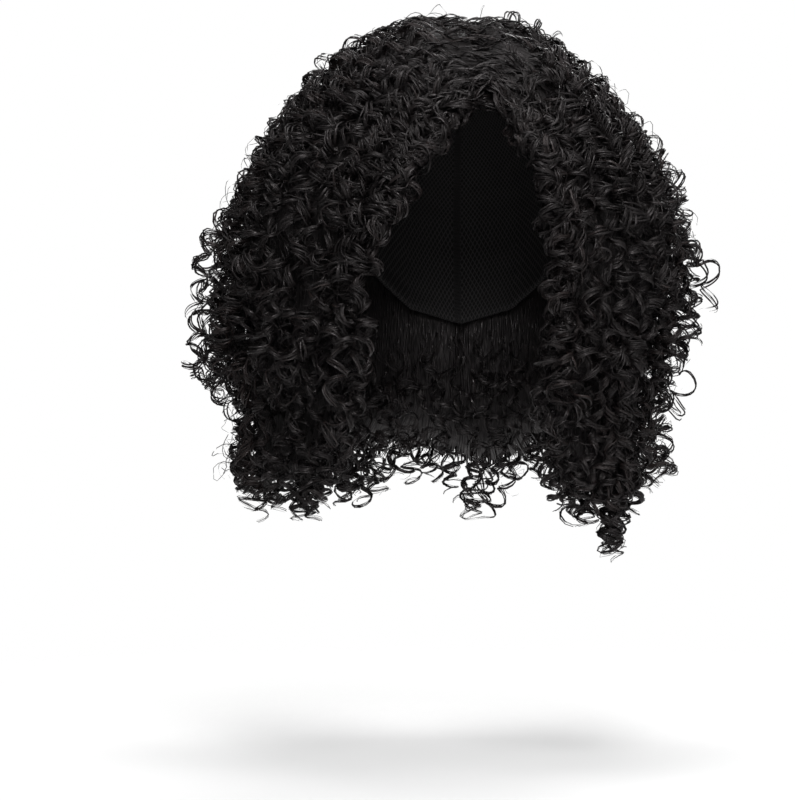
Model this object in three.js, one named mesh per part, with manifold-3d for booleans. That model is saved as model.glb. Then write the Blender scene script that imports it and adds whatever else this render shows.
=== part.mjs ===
// Curly synthetic wig: a stretch-net cap and the wefts of curled fibre that are sewn round it.
// Millimetres, +Z up. The face looks along -Y, and left and right are the wearer's, so left is +X.
// The origin is the inside of the cap's crown, where the wig sits on the top of the head.
import * as THREE from "three";
import { mergeVertices } from "three/addons/utils/BufferGeometryUtils.js";
import Module from "manifold-3d";

const wasm = await Module();
wasm.setup();
const { degToRad, lerp, smoothstep, clamp } = THREE.MathUtils;

// The head that the cap fits: one half-ellipsoid above its widest level and a longer one below
const HEAD = { halfWidth: 76, halfDepth: 95, domeHeight: 95, lowerReach: 130 };

// The cap: its cloth, its facets, and how far its edge comes down at each azimuth
const CAP_WALL = 1.6;
const CAP_SECTORS = 30;
const CAP_RINGS = 6;
const CAP_EDGE = [
  { azimuth: 0, height: -27 },
  { azimuth: 20, height: -28 },
  { azimuth: 32, height: -40 },
  { azimuth: 40, height: -56 },
  { azimuth: 55, height: -85 },
  { azimuth: 75, height: -118 },
  { azimuth: 95, height: -104 },
  { azimuth: 120, height: -125 },
  { azimuth: 150, height: -155 },
  { azimuth: 180, height: -165 },
];

// The outside of the hair: a dome down to its widest level, then a body that hangs from it.
// The powers give the dome's profile: 0.5 is round, as in front and behind, and more is nearer a cone.
const HAIR = {
  centreX: -3,
  centreY: 25,
  halfWidth: 165,
  halfDepth: 132,
  domeHeight: 165,
  frontPower: 0.5,
  sidePower: 0.67,
  widestLevel: -128,
  hang: 160,
};

// How the hanging body narrows. fall is 1 at the widest level and 2 at the ends.
const HANG_WIDTH = [
  { fall: 1.0, right: 0.985, left: 0.95 },
  { fall: 1.2, right: 0.985, left: 0.91 },
  { fall: 1.4, right: 0.99, left: 0.88 },
  { fall: 1.6, right: 0.91, left: 0.82 },
  { fall: 1.85, right: 0.94, left: 0.82 },
  { fall: 2.0, right: 0.88, left: 0.77 },
];

// The parting runs over the top of the head from the front hairline to the crown
const PARTING = { frontX: 15, frontY: -66, crownX: 0, crownY: 35, whorl: 6 };
const PARTING_AZIMUTHS = { front: 18, crown: 140 };

// The space kept clear for the cheeks, neck and shoulders under the cap
const CLEAR = { halfWidth: 72, front: 95, back: 70, reached: 1.5 };

// How far the hair beside the face crowds in to the cheeks, and over which falls
const CROWD = { share: 0.62, from: 0.6, to: 1.2 };

// The edge of the hair round the face, seen from the front
const FACE_EDGE = [
  { height: -32, right: 9, left: 16 },
  { height: -38, right: 1, left: 25 },
  { height: -55, right: -12, left: 36 },
  { height: -66, right: -23, left: 41 },
  { height: -71, right: -32, left: 43 },
  { height: -94, right: -40, left: 47 },
  { height: -123, right: -57, left: 51 },
  { height: -150, right: -65, left: 51 },
  { height: -190, right: -63, left: 45 },
  { height: -213, right: -65, left: 37 },
  { height: -255, right: -81, left: 45 },
  { height: -340, right: -112, left: 72 },
];
const FACE_DEPTH = { from: -160, to: -40 };

// The wefts lie in two tiers: the crown tier falls over the roots of the lower tier
const TIERS = {
  crown: {
    backingFrom: 0.02,
    backingTo: 1.25,
    lockFrom: 0.03,
    lockTo: 1.46,
    rootShare: 0.7,
    outFrom: 0,
    outTo: 0.12,
  },
  lower: {
    backingFrom: 0.74,
    backingTo: 1.84,
    lockFrom: 1.02,
    lockTo: 1.97,
    rootShare: 0.35,
    outFrom: 1.08,
    outTo: 1.48,
  },
};

// The surface between the tiers, as an upright oval round the head
const TIER_SPLIT = [
  { height: -20, radius: 30 },
  { height: -55, radius: 78 },
  { height: -95, radius: 101 },
  { height: -128, radius: 113 },
  { height: -165, radius: 120 },
  { height: -190, radius: 136 },
  { height: -218, radius: 185 },
  { height: -380, radius: 215 },
];
const SPLIT = { centreX: -3, centreY: 22, depthShare: 0.85, gap: 1.2, sectors: 18 };

// One row for each weft, from one azimuth round to the other
const WEFTS = [
  { name: "fringe_left", tier: "crown", from: 18, to: 63, locks: 4 },
  { name: "crown_weft_left", tier: "crown", from: 63, to: 126, locks: 5 },
  { name: "crown_weft_back", tier: "crown", from: 126, to: 234, locks: 7 },
  { name: "crown_weft_right", tier: "crown", from: 234, to: 297, locks: 5 },
  { name: "fringe_right", tier: "crown", from: 297, to: 342, locks: 4 },
  { name: "side_weft_left", tier: "lower", from: 18, to: 99, locks: 6 },
  { name: "back_weft_left", tier: "lower", from: 99, to: 180, locks: 5 },
  { name: "back_weft_right", tier: "lower", from: 180, to: 261, locks: 5 },
  { name: "side_weft_right", tier: "lower", from: 261, to: 333, locks: 6 },
];

// One lock: a tapered bundle of fibre that winds as it falls
const LOCK = {
  radius: 15,
  rootRadius: 7,
  swollenAt: 0.35,
  tipRadius: 4,
  taperFrom: 0.74,
  bedding: 0.8,
  wave: 5,
  fullWaveAt: 0.4,
  turns: 2.2,
  uneven: 0.09,
};
const LOCK_SIDES = 5;
const LOCK_STEPS = 9;

// The longest lock, which hangs below the others and swings outward as it falls
const TAIL_LOCK = { weft: "side_weft_left", index: 2, endFall: 2.17, swing: 6 };

// The packed roots under the locks. sink takes them a little into the cap, where they are then cut back.
const BACKING = { depth: 14, sink: -0.05, azimuthStep: 22, fallStep: 0.3 };
const DEEPEST_SHARE = 0.2;
const SEAM_GAP = 0.4;
const PARTING_SHARE = 0.012;
const WEDGE = { reach: 1.7, bottom: -380, top: 60, azimuthStep: 18 };

const HAIR_FINISH = { color: 0x1b1716, roughness: 0.5, metalness: 0 };
const CAP_FINISH = { color: 0x151414, roughness: 0.9, metalness: 0 };

// A column of a table, read between its rows
function readTable(table, key, column, at) {
  const next = table.findIndex((row) => row[key] >= at);
  if (next === 0) return table[0][column];
  if (next < 0) return table[table.length - 1][column];
  const [low, high] = [table[next - 1], table[next]];
  return lerp(low[column], high[column], smoothstep(at, low[key], high[key]));
}

// A repeatable number from 0 to 1 for a lock, so that no two locks are alike
function uneven(index, salt) {
  const spread = Math.sin(index * 12.9898 + salt * 78.233) * 43758.5453;
  return spread - Math.floor(spread);
}

// A closed geometry as a solid, turned right side out
function toSolid(geometry) {
  const bare = geometry.index ? geometry.toNonIndexed() : geometry.clone();
  bare.deleteAttribute("normal");
  bare.deleteAttribute("uv");
  const merged = mergeVertices(bare, 1e-3);
  const vertProperties = merged.attributes.position.array;
  const triVerts = new Uint32Array(merged.index.array);
  const solid = new wasm.Manifold(new wasm.Mesh({ numProp: 3, vertProperties, triVerts }));
  if (solid.volume() >= 0) return solid;
  return new wasm.Manifold(new wasm.Mesh({ numProp: 3, vertProperties, triVerts: triVerts.reverse() }));
}

function toGeometry(solid) {
  const { numProp, numVert, vertProperties, triVerts } = solid.getMesh();
  const positions = new Float32Array(numVert * 3);
  for (let i = 0; i < numVert; i++) {
    positions.set(vertProperties.subarray(i * numProp, i * numProp + 3), i * 3);
  }
  const geometry = new THREE.BufferGeometry();
  geometry.setAttribute("position", new THREE.BufferAttribute(positions, 3));
  geometry.setIndex(new THREE.BufferAttribute(triVerts, 1));
  return geometry;
}

// Moves every vertex of a geometry to where a function puts it
function bend(geometry, place) {
  const positions = geometry.attributes.position;
  const vertex = new THREE.Vector3();
  for (let i = 0; i < positions.count; i++) {
    const moved = place(vertex.fromBufferAttribute(positions, i));
    positions.setXYZ(i, moved.x, moved.y, moved.z);
  }
  return geometry;
}

// The height of the head's dome over a place in plan
function headHeight(x, y) {
  const inside = 1 - (x / HEAD.halfWidth) ** 2 - (y / HEAD.halfDepth) ** 2;
  return HEAD.domeHeight * (Math.sqrt(Math.max(0, inside)) - 1);
}

// A point of the head's skin, pushed out by some distance. share runs from the crown to the cap's edge.
function headSkin(azimuth, share, distance) {
  const edge = readTable(CAP_EDGE, "azimuth", "height", Math.abs(azimuth)) + HEAD.domeHeight;
  const reach = edge > 0 ? HEAD.domeHeight : HEAD.lowerReach;
  const polar = Math.acos(edge / reach) * share;
  const drop = polar < Math.PI / 2 ? HEAD.domeHeight : HEAD.lowerReach;
  const turn = degToRad(azimuth);
  const across = Math.sin(polar) * Math.sin(turn);
  const along = -Math.sin(polar) * Math.cos(turn);
  const up = Math.cos(polar);
  const height = drop * up - HEAD.domeHeight;
  const skin = new THREE.Vector3(HEAD.halfWidth * across, HEAD.halfDepth * along, height);
  const outward = new THREE.Vector3(across / HEAD.halfWidth, along / HEAD.halfDepth, up / drop).normalize();
  return skin.addScaledVector(outward, distance);
}

// A dome over the head, solid below or hollow, turned as a lathe and then fitted to the head
function headDome(innerDistance, outerDistance) {
  const innerLayer = 1;
  const outerLayer = 2;
  const quarter = (layer) =>
    Array.from({ length: CAP_RINGS + 1 }, (_, ring) => {
      const polar = (ring / CAP_RINGS) * (Math.PI / 2);
      return new THREE.Vector2(layer * Math.sin(polar), layer * Math.cos(polar));
    });
  const inner = innerDistance === null ? [new THREE.Vector2(0, 0)] : quarter(innerLayer);
  const profile = [...inner, ...quarter(outerLayer).reverse()];
  profile.filter((point) => point.x < 1e-6).forEach((point) => (point.x = 0));
  return bend(new THREE.LatheGeometry(profile, CAP_SECTORS), (vertex) => {
    const layer = vertex.length();
    if (layer < innerLayer / 2) return new THREE.Vector3(0, 0, -HEAD.domeHeight - HEAD.lowerReach);
    const azimuth = THREE.MathUtils.radToDeg(Math.atan2(vertex.x, vertex.z));
    const share = Math.acos(clamp(vertex.y / layer, -1, 1)) / (Math.PI / 2);
    return headSkin(azimuth, share, layer > (innerLayer + outerLayer) / 2 ? outerDistance : innerDistance);
  });
}

// How far an azimuth is turned from the face, to either side
function turnFromFace(azimuth) {
  return Math.abs(((azimuth + 180) % 360) - 180);
}

// Where a lock leaves the parting: its front end for the locks by the face, the crown for those behind
function partingPoint(azimuth) {
  const back = smoothstep(turnFromFace(azimuth), PARTING_AZIMUTHS.front, PARTING_AZIMUTHS.crown);
  const turn = degToRad(azimuth);
  return new THREE.Vector2(
    lerp(PARTING.frontX, PARTING.crownX, back) + back * PARTING.whorl * Math.sin(turn),
    lerp(PARTING.frontY, PARTING.crownY, back) - back * PARTING.whorl * Math.cos(turn),
  );
}

// The outside of the hair at an azimuth and a fall
function outerPoint(azimuth, fall) {
  const turn = degToRad(azimuth);
  const leftShare = (1 + Math.sin(turn)) / 2;
  const narrow = lerp(
    readTable(HANG_WIDTH, "fall", "right", fall),
    readTable(HANG_WIDTH, "fall", "left", fall),
    leftShare,
  );
  const edge = new THREE.Vector2(
    HAIR.centreX + HAIR.halfWidth * narrow * Math.sin(turn),
    HAIR.centreY - HAIR.halfDepth * Math.cos(turn),
  );
  if (fall >= 1) return new THREE.Vector3(edge.x, edge.y, HAIR.widestLevel - (fall - 1) * HAIR.hang);
  const plan = partingPoint(azimuth).lerp(edge, Math.sin((fall * Math.PI) / 2));
  const wide = (plan.x - HAIR.centreX) / (HAIR.halfWidth * narrow);
  const deep = (plan.y - HAIR.centreY) / HAIR.halfDepth;
  const power = lerp(HAIR.frontPower, HAIR.sidePower, Math.sin(turn) ** 2);
  const rise = Math.max(0, 1 - wide ** 2 - deep ** 2) ** power;
  return new THREE.Vector3(plan.x, plan.y, HAIR.widestLevel + HAIR.domeHeight * rise);
}

// The inside of the hair: on the head down to its widest level, then round the space for face and neck
function innerPoint(azimuth, fall) {
  const crowd = lerp(1, CROWD.share, smoothstep(fall, CROWD.from, CROWD.to));
  const fromFace = turnFromFace(azimuth);
  const bearing = fromFace < 90 ? 90 - (90 - fromFace) * crowd : fromFace;
  const across = Math.sin(degToRad(bearing)) * (azimuth > 180 ? -1 : 1);
  const along = -Math.cos(degToRad(bearing));
  const brow = new THREE.Vector2(HEAD.halfWidth * across, HEAD.halfDepth * along);
  if (fall <= 1) {
    const plan = partingPoint(azimuth).lerp(brow, Math.sin((fall * Math.PI) / 2));
    return new THREE.Vector3(plan.x, plan.y, headHeight(plan.x, plan.y));
  }
  const clearDepth = along < 0 ? CLEAR.front : CLEAR.back;
  const plan = brow.lerp(
    new THREE.Vector2(CLEAR.halfWidth * across, clearDepth * along),
    smoothstep(fall, 1, CLEAR.reached),
  );
  const ends = HAIR.widestLevel - HAIR.hang;
  return new THREE.Vector3(plan.x, plan.y, -HEAD.domeHeight + (fall - 1) * (ends + HEAD.domeHeight));
}

function hairPoint(azimuth, fall, share) {
  return innerPoint(azimuth, fall).lerp(outerPoint(azimuth, fall), share);
}

// The depth share that lies some distance under the outside
function shareUnder(azimuth, fall, depth) {
  const thickness = innerPoint(azimuth, fall).distanceTo(outerPoint(azimuth, fall));
  return Math.max(1 - depth / thickness, DEEPEST_SHARE);
}

// The packed roots of a weft, which carry its locks
function weftBacking(weft) {
  const tier = TIERS[weft.tier];
  const sectors = Math.ceil((weft.to - weft.from) / BACKING.azimuthStep);
  const rows = Math.ceil((tier.backingTo - tier.backingFrom) / BACKING.fallStep);
  return bend(new THREE.BoxGeometry(1, 1, 1, sectors, rows, 1), (vertex) => {
    const azimuth = lerp(weft.from, weft.to, vertex.x + 0.5);
    const fall = lerp(tier.backingFrom, tier.backingTo, vertex.y + 0.5);
    return hairPoint(azimuth, fall, vertex.z < 0 ? BACKING.sink : shareUnder(azimuth, fall, BACKING.depth));
  });
}

// The upright wedge that a weft may fill, from the parting out past the ends of its locks
function weftWedge(weft) {
  const planPoint = (azimuth, share, aside) => {
    const root = partingPoint(azimuth);
    const edge = outerPoint(azimuth, 1);
    const out = new THREE.Vector2(edge.x, edge.y).sub(root);
    const across = new THREE.Vector2(-out.y, out.x).normalize();
    return root.addScaledVector(out, share).addScaledVector(across, aside);
  };
  const steps = Math.ceil((weft.to - weft.from) / WEDGE.azimuthStep);
  const azimuths = Array.from({ length: steps + 1 }, (_, step) => lerp(weft.from, weft.to, step / steps));
  const aside = azimuths.map((_, step) => (step === 0 ? SEAM_GAP : step === steps ? -SEAM_GAP : 0));
  const far = azimuths.map((azimuth, step) => planPoint(azimuth, WEDGE.reach, aside[step]));
  const near = azimuths.map((azimuth, step) => planPoint(azimuth, PARTING_SHARE, aside[step]));
  const outline = new THREE.Shape([...far, ...near.reverse()]);
  const depth = WEDGE.top - WEDGE.bottom;
  return new THREE.ExtrudeGeometry(outline, { depth, bevelEnabled: false }).translate(0, 0, WEDGE.bottom);
}

// The space under the crown tier, grown or shrunk by some distance
function underCrown(growth) {
  const profile = TIER_SPLIT.map((row) => new THREE.Vector2(row.radius + growth, row.height + growth));
  const top = new THREE.Vector2(0, profile[0].y);
  const bottom = new THREE.Vector2(0, profile[profile.length - 1].y);
  const turned = new THREE.LatheGeometry([bottom, ...profile.reverse(), top], SPLIT.sectors);
  turned.rotateX(Math.PI / 2);
  return turned.scale(1, SPLIT.depthShare, 1).translate(SPLIT.centreX, SPLIT.centreY, 0);
}

function lockRadius(along) {
  const swell = lerp(LOCK.rootRadius, LOCK.radius, smoothstep(along, 0, LOCK.swollenAt));
  return lerp(swell, LOCK.tipRadius, smoothstep(along, LOCK.taperFrom, 1));
}

// The middle line of a lock: it comes out from under the tier above and winds as it falls
function lockLine(weft, index) {
  const tier = TIERS[weft.tier];
  const middle = lerp(weft.from, weft.to, (index + 0.5) / weft.locks);
  const seed = index + weft.from;
  const isTail = weft.name === TAIL_LOCK.weft && index === TAIL_LOCK.index;
  const plainEnd = tier.lockTo + (uneven(seed, 1) - 0.5) * 2 * LOCK.uneven;
  const phase = uneven(seed, 2) * 2 * Math.PI;
  const points = Array.from({ length: LOCK_STEPS + 1 }, (_, step) => {
    const along = step / LOCK_STEPS;
    const fall = lerp(tier.lockFrom, isTail ? TAIL_LOCK.endFall : plainEnd, along);
    const azimuth = isTail ? middle + TAIL_LOCK.swing * along : middle;
    const outside = shareUnder(azimuth, fall, lockRadius(along) * LOCK.bedding);
    const comeOut = smoothstep(fall, tier.outFrom, tier.outTo);
    const share = lerp(Math.min(tier.rootShare, outside), outside, comeOut);
    const aside = hairPoint(azimuth + 1, fall, 1).sub(hairPoint(azimuth - 1, fall, 1)).normalize();
    const outward = outerPoint(azimuth, fall).sub(innerPoint(azimuth, fall)).normalize();
    const turn = phase + along * LOCK.turns * 2 * Math.PI;
    const wave = LOCK.wave * smoothstep(along, 0, LOCK.fullWaveAt);
    return hairPoint(azimuth, fall, share)
      .addScaledVector(aside, wave * Math.cos(turn))
      .addScaledVector(outward, (wave / 2) * Math.sin(turn));
  });
  return new THREE.CatmullRomCurve3(points);
}

// A lock as a cylinder bent along its line
function lockBody(line) {
  const frames = line.computeFrenetFrames(LOCK_STEPS);
  return bend(new THREE.CylinderGeometry(1, 1, 1, LOCK_SIDES, LOCK_STEPS), (vertex) => {
    const along = vertex.y + 0.5;
    const step = Math.round(along * LOCK_STEPS);
    const radius = lockRadius(along);
    return line
      .getPointAt(along)
      .addScaledVector(frames.normals[step], radius * vertex.x)
      .addScaledVector(frames.binormals[step], radius * vertex.z);
  });
}

// The space in front of the face, which no lock crosses
function faceBlock() {
  const rightSide = FACE_EDGE.map((row) => new THREE.Vector2(row.right, row.height));
  const leftSide = FACE_EDGE.map((row) => new THREE.Vector2(row.left, row.height));
  const outline = new THREE.Shape([...rightSide, ...leftSide.reverse()]);
  const depth = FACE_DEPTH.to - FACE_DEPTH.from;
  const block = new THREE.ExtrudeGeometry(outline, { depth, bevelEnabled: false });
  return block.rotateX(Math.PI / 2).translate(0, FACE_DEPTH.to, 0);
}

// A weft: its backing with every lock fused to it, trimmed to its wedge, its tier, the cap and the face
function weftSolid(weft, space) {
  const locks = Array.from({ length: weft.locks }, (_, index) => toSolid(lockBody(lockLine(weft, index))));
  const fused = locks.reduce((sum, lock) => sum.add(lock), toSolid(weftBacking(weft)));
  const wedge = fused.intersect(toSolid(weftWedge(weft)));
  const tier = weft.tier === "crown" ? wedge.subtract(space.underCrown) : wedge.intersect(space.lowerTier);
  const trimmed = tier.subtract(space.cap).subtract(space.face);
  return trimmed.decompose().reduce((most, body) => (body.volume() > most.volume() ? body : most));
}

function namedMesh(name, solid, finish) {
  const mesh = new THREE.Mesh(toGeometry(solid), new THREE.MeshStandardMaterial(finish));
  mesh.name = name;
  return mesh;
}

const wig = new THREE.Group();
wig.add(namedMesh("cap", toSolid(headDome(0, CAP_WALL)), CAP_FINISH));
const space = {
  cap: toSolid(headDome(null, CAP_WALL + SEAM_GAP)),
  face: toSolid(faceBlock()),
  underCrown: toSolid(underCrown(SPLIT.gap / 2)),
  lowerTier: toSolid(underCrown(-SPLIT.gap / 2)),
};
WEFTS.forEach((weft) => wig.add(namedMesh(weft.name, weftSolid(weft, space), HAIR_FINISH)));

export default wig;
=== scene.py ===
import math

import bmesh
import bpy
import numpy as np
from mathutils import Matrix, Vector


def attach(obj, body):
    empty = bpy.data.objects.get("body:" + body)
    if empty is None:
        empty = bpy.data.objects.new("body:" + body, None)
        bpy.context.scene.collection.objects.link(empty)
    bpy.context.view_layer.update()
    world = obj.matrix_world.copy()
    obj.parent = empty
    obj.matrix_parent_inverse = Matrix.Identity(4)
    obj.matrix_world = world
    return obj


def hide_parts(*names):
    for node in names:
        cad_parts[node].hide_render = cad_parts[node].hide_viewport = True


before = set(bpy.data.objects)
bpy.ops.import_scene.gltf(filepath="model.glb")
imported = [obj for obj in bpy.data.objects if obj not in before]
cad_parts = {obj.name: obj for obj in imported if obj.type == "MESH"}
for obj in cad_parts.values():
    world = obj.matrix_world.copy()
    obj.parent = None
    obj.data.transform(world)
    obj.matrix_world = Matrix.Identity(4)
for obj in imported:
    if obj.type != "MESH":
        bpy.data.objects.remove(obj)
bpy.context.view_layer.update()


# Camera: level with the middle of the picture, with a portrait lens far enough back to keep
# the near hair from swelling. The long side of the picture takes in the seen height.
CAMERA_PLACE = Vector((-0.043, -1.8, -0.217))
SEEN_HEIGHT = 0.520

camera_data = bpy.data.cameras.new("portrait_camera")
camera_data.lens = camera_data.sensor_width * -CAMERA_PLACE.y / SEEN_HEIGHT
camera = bpy.data.objects.new("portrait_camera", camera_data)
camera.location = CAMERA_PLACE
camera.rotation_euler = (math.radians(90), 0, 0)
bpy.context.scene.collection.objects.link(camera)
bpy.context.scene.camera = camera


# Cap: the stretch net that every weft is sewn to. It is an open dome of knitted net with a
# folded elastic hem, and the rows of weft stitching show inside as low raised tapes.
HEAD_HALF_WIDTH = 0.076
HEAD_HALF_DEPTH = 0.095
HEAD_DOME = 0.095
HEAD_LOWER_REACH = 0.130
CAP_WALL = 0.0016
CAP_EDGE_AZIMUTHS = (0, 20, 32, 40, 55, 75, 95, 120, 150, 180)
CAP_EDGE_HEIGHTS = (-0.027, -0.028, -0.040, -0.056, -0.085, -0.118, -0.104, -0.125, -0.155, -0.165)
CAP_SECTORS = 96
CAP_RINGS = 120
HEM_SHARE = 0.965
HEM_EXTRA = 0.0007
TAPE_ROWS = 11
TAPE_SHARE = 0.22
TAPE_RAISE = 0.0005
NET_CELL = 0.0021


def cap_skin(azimuth, share, distance):
    """The place at an azimuth and a share of the way from crown to edge, so far off the inside."""
    edge = np.interp(abs(azimuth), CAP_EDGE_AZIMUTHS, CAP_EDGE_HEIGHTS) + HEAD_DOME
    reach = HEAD_DOME if edge > 0 else HEAD_LOWER_REACH
    polar = math.acos(edge / reach) * share
    drop = HEAD_DOME if polar < math.pi / 2 else HEAD_LOWER_REACH
    turn = math.radians(azimuth)
    across = math.sin(polar) * math.sin(turn)
    along = -math.sin(polar) * math.cos(turn)
    up = math.cos(polar)
    skin = Vector((HEAD_HALF_WIDTH * across, HEAD_HALF_DEPTH * along, drop * up - HEAD_DOME))
    outward = Vector((across / HEAD_HALF_WIDTH, along / HEAD_HALF_DEPTH, up / drop)).normalized()
    return skin + outward * distance


def cap_layer(bm, uv_layer, is_outer):
    """Adds one side of the wall: half a ball, with its rim drawn down to the edge of the cap."""
    made = bmesh.ops.create_uvsphere(bm, u_segments=CAP_SECTORS, v_segments=CAP_RINGS, radius=1)
    faces = list(dict.fromkeys(face for vert in made["verts"] for face in vert.link_faces))
    edges = list(dict.fromkeys(edge for face in faces for edge in face.edges))
    kept = bmesh.ops.bisect_plane(
        bm,
        geom=made["verts"] + edges + faces,
        plane_co=(0, 0, 0),
        plane_no=(0, 0, 1),
        clear_inner=True,
        dist=1e-6,
    )
    kept_faces = [
        part for part in kept["geom"] if isinstance(part, bmesh.types.BMFace) and part.is_valid
    ]
    kept_verts = {vert for face in kept_faces for vert in face.verts}
    for face in kept_faces:
        for loop in face.loops:
            place = loop.vert.co
            turn = math.atan2(place.x, -place.y)
            polar = math.acos(max(-1, min(1, place.z)))
            loop[uv_layer].uv = (turn * HEAD_HALF_WIDTH, polar * HEAD_DOME)
    for vert in kept_verts:
        azimuth = math.degrees(math.atan2(vert.co.x, -vert.co.y))
        share = math.acos(max(-1, min(1, vert.co.z))) / (math.pi / 2)
        hem = HEM_EXTRA if share > HEM_SHARE else 0
        tape = TAPE_RAISE if (share * TAPE_ROWS) % 1 < TAPE_SHARE else 0
        vert.co = cap_skin(azimuth, share, CAP_WALL if is_outer else -max(hem, tape))
    if not is_outer:
        bmesh.ops.reverse_faces(bm, faces=kept_faces)


cap_bm = bmesh.new()
cap_uv = cap_bm.loops.layers.uv.new("Net")
cap_layer(cap_bm, cap_uv, True)
cap_layer(cap_bm, cap_uv, False)
rims = [edge for edge in cap_bm.edges if edge.is_boundary]
bmesh.ops.bridge_loops(cap_bm, edges=rims)
for face in cap_bm.faces:
    face.smooth = True
cap_mesh = bpy.data.meshes.new("net_cap")
cap_bm.to_mesh(cap_mesh)
cap_bm.free()
cap = bpy.data.objects.new("net_cap", cap_mesh)
bpy.context.scene.collection.objects.link(cap)
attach(cap, "root")
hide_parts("cap")


def add_node(tree, kind, values=(), **settings):
    """A shader node with its settings made and its sockets given a value or a link."""
    node = tree.nodes.new(kind)
    for name, value in settings.items():
        setattr(node, name, value)
    for socket, value in dict(values).items():
        if isinstance(value, bpy.types.NodeSocket):
            tree.links.new(value, node.inputs[socket])
        else:
            node.inputs[socket].default_value = value
    return node


def new_material(name):
    material = bpy.data.materials.new(name)
    material.use_nodes = True
    tree = material.node_tree
    return material, tree, tree.nodes["Principled BSDF"]


# The net's threads cross in a diamond lattice on the cap's own map.
net, tree, shader = new_material("knitted_net")
net_map = add_node(tree, "ShaderNodeUVMap", uv_map="Net")
turned = add_node(
    tree,
    "ShaderNodeMapping",
    {"Vector": net_map.outputs[0], "Rotation": (0, 0, math.radians(45)), "Scale": (1 / NET_CELL,) * 3},
)
cells = add_node(
    tree,
    "ShaderNodeTexVoronoi",
    {"Vector": turned.outputs[0], "Scale": 1.0, "Randomness": 0.0},
    distance="CHEBYCHEV",
    voronoi_dimensions="2D",
)
thread = add_node(
    tree,
    "ShaderNodeMapRange",
    {"Value": cells.outputs["Distance"], "From Min": 0.3, "From Max": 0.5},
)
shade = add_node(tree, "ShaderNodeValToRGB", {"Fac": thread.outputs[0]})
shade.color_ramp.elements[0].color = (0.006, 0.006, 0.006, 1)
shade.color_ramp.elements[1].color = (0.045, 0.042, 0.043, 1)
net_bump = add_node(
    tree,
    "ShaderNodeBump",
    {"Height": thread.outputs[0], "Strength": 0.6, "Distance": 0.0003},
)
tree.links.new(shade.outputs[0], shader.inputs["Base Color"])
tree.links.new(net_bump.outputs[0], shader.inputs["Normal"])
shader.inputs["Roughness"].default_value = 0.85
shader.inputs["Specular IOR Level"].default_value = 0.2
cap_mesh.materials.append(net)


# Lower wefts: rows of curled synthetic fibre, sewn to the cap at its sides and its back. Each has
# packed roots and hanging ringlets, which are bands of fibre ribbons with finer strands beside
# them. The ringlets are gathered into locks that wind, one of them longer than the rest.
HAIR_CENTRE_X = -0.003
HAIR_CENTRE_Y = 0.025
HAIR_HALF_WIDTH = 0.165
HAIR_HALF_DEPTH = 0.132
HAIR_DOME = 0.165
FRONT_POWER = 0.5
SIDE_POWER = 0.67
WIDEST_LEVEL = -0.128
HANG = 0.160
HANG_FALLS = (1.0, 1.2, 1.4, 1.6, 1.85, 2.0)
HANG_RIGHT = (0.985, 0.985, 0.99, 0.91, 0.94, 0.88)
HANG_LEFT = (0.95, 0.91, 0.88, 0.82, 0.82, 0.77)
PARTING_FRONT = (0.015, -0.066)
PARTING_CROWN = (0.0, 0.035)
PARTING_WHORL = 0.006
PARTING_AZIMUTHS = (18, 140)
CLEAR_HALF_WIDTH = 0.072
CLEAR_FRONT = 0.095
CLEAR_BACK = 0.070
CLEAR_REACHED = 1.5
CROWD_SHARE = 0.62
CROWD_FALLS = (0.6, 1.2)
FACE_EDGES = (
    {"height": -0.340, "right": -0.112, "left": 0.072},
    {"height": -0.255, "right": -0.081, "left": 0.045},
    {"height": -0.213, "right": -0.065, "left": 0.037},
    {"height": -0.190, "right": -0.063, "left": 0.045},
    {"height": -0.150, "right": -0.065, "left": 0.051},
    {"height": -0.123, "right": -0.057, "left": 0.051},
    {"height": -0.094, "right": -0.040, "left": 0.047},
    {"height": -0.071, "right": -0.032, "left": 0.043},
    {"height": -0.066, "right": -0.023, "left": 0.041},
    {"height": -0.055, "right": -0.012, "left": 0.036},
    {"height": -0.038, "right": 0.001, "left": 0.025},
    {"height": -0.032, "right": 0.009, "left": 0.016},
)
FACE_AHEAD = (0.020, 0.050)
FACE_BELOW = (0.020, 0.033)
FACE_MARGIN = 0.002
FACE_ROOM = 0.015
FACE_WAVE = 0.007
DEEPEST_SHARE = 0.06


def ease(value, start, end):
    share = np.clip((value - start) / (end - start), 0, 1)
    return share * share * (3 - 2 * share)


def mix(low, high, share):
    return low + (high - low) * share


def unit(vectors):
    return vectors / np.maximum(np.linalg.norm(vectors, axis=-1, keepdims=True), 1e-9)


def turn_from_face(azimuth):
    """The degrees between an azimuth and the front, where the azimuth is 0."""
    return np.abs((azimuth + 180) % 360 - 180)


def parting_point(azimuth):
    """Where on the parting, or round the whorl at its back end, the hair of an azimuth starts."""
    back = ease(turn_from_face(azimuth), *PARTING_AZIMUTHS)
    turn = np.radians(azimuth)
    x = mix(PARTING_FRONT[0], PARTING_CROWN[0], back) + back * PARTING_WHORL * np.sin(turn)
    y = mix(PARTING_FRONT[1], PARTING_CROWN[1], back) - back * PARTING_WHORL * np.cos(turn)
    return x, y


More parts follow.
